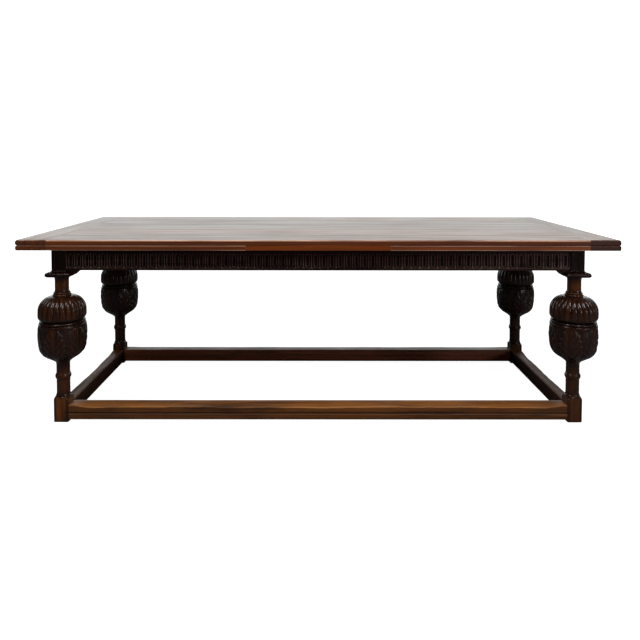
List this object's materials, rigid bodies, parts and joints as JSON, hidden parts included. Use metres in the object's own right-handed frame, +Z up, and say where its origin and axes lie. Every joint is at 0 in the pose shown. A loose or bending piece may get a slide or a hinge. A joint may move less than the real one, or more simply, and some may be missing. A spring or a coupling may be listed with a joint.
{
  "type": "draw-leaf refectory table",
  "caption": "Dark oak draw-leaf refectory table on cup-and-cover bulb legs, with a fluted frieze, low stretchers and two leaves that draw out at the ends",
  "frame": {"origin": "on the floor, under the middle of the top", "axes": "+X along the table to its right end seen from the front, +Y to the rear, +Z up"},
  "size_m": [2.4, 0.964, 0.775],
  "materials": {
    "top_oak": "waxed oak, polished by use",
    "leg_oak": "dark stained oak, satin wax",
    "frame_oak": "dark stained oak, satin wax",
    "stretcher_oak": "stained oak, worn brown on top",
    "inner_oak": "plain planed oak",
    "peg_oak": "oak pegs"
  },
  "bodies": {
    "frame": {"bed_board": "frame_oak", "bed_board_pegs": "peg_oak", "front_bracket_left": "frame_oak", "front_bracket_right": "frame_oak", "front_rail": "frame_oak", "front_stretcher": "stretcher_oak", "left_bracket_front": "frame_oak", "left_bracket_rear": "frame_oak", "left_rail": "frame_oak", "left_stretcher": "stretcher_oak", "leg_front_left": "leg_oak", "leg_front_right": "leg_oak", "leg_rear_left": "leg_oak", "leg_rear_right": "leg_oak", "middle_cross_rail": "frame_oak", "rail_pegs": "peg_oak", "rear_bracket_left": "frame_oak", "rear_bracket_right": "frame_oak", "rear_rail": "frame_oak", "rear_stretcher": "stretcher_oak", "right_bracket_front": "frame_oak", "right_bracket_rear": "frame_oak", "right_rail": "frame_oak", "right_stretcher": "stretcher_oak", "stretcher_pegs": "peg_oak"},
    "left_leaf": {"left_leaf_board_1": "top_oak", "left_leaf_board_2": "top_oak", "left_leaf_board_3": "top_oak", "left_leaf_cleat": "top_oak", "left_loper_front": "inner_oak", "left_loper_pegs": "peg_oak", "left_loper_rear": "inner_oak", "left_loper_stops": "inner_oak"},
    "right_leaf": {"right_leaf_board_1": "top_oak", "right_leaf_board_2": "top_oak", "right_leaf_board_3": "top_oak", "right_leaf_cleat": "top_oak", "right_loper_front": "inner_oak", "right_loper_pegs": "peg_oak", "right_loper_rear": "inner_oak", "right_loper_stops": "inner_oak"},
    "top": {"front_edge_filler": "top_oak", "guide_peg_left": "peg_oak", "guide_peg_right": "peg_oak", "rear_edge_filler": "top_oak", "top_board_1": "top_oak", "top_board_2": "top_oak", "top_board_3": "top_oak", "top_board_4": "top_oak", "top_board_5": "top_oak", "top_cleat_left": "top_oak", "top_cleat_right": "top_oak"}
  },
  "joints": [
    {"name": "left_leaf_draw", "type": "slide", "parent": "frame", "child": "left_leaf", "axis": [-1, 0, 0], "range_m": [0, 0.912]},
    {"name": "right_leaf_draw", "type": "slide", "parent": "frame", "child": "right_leaf", "axis": [1, 0, 0], "range_m": [0, 0.912]},
    {"name": "top_lift", "type": "slide", "parent": "frame", "child": "top", "axis": [0, 0, 1], "range_m": [0, 0.045]}
  ]
}
